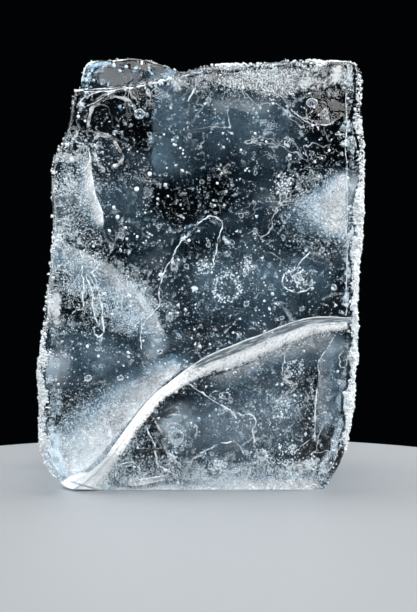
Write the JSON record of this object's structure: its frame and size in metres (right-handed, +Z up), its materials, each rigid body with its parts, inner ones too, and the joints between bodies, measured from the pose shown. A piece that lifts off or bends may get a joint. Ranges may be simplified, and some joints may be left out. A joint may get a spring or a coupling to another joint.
{
  "type": "ice block",
  "caption": "Upright slab of clear ice with rounded melted edges, a chipped top corner and a flat foot, cloudy inside with bubbles and a curved crack.",
  "frame": {"origin": "middle of the footprint, on the surface that the block stands on", "axes": "+Z up along the block's height; +X to the right when the front is seen; the front face looks along -Y"},
  "size_m": [0.113, 0.0638, 0.1503],
  "materials": {
    "clear_ice": "wet clear ice, nearly smooth, faintly blue, with melt ripples",
    "rime_frost": "white granular frost on the right side, the top edge and the left side",
    "crack_surface": "silvery white inner crack with fine streaks across it",
    "trapped_air": "air bubbles and drawn-out air channels sealed in the ice, bright at their rims",
    "cloudy_ice": "milky ice, full of bubbles too small to see"
  },
  "bodies": {
    "root": {"ice_block": "clear_ice"}
  },
  "joints": []
}
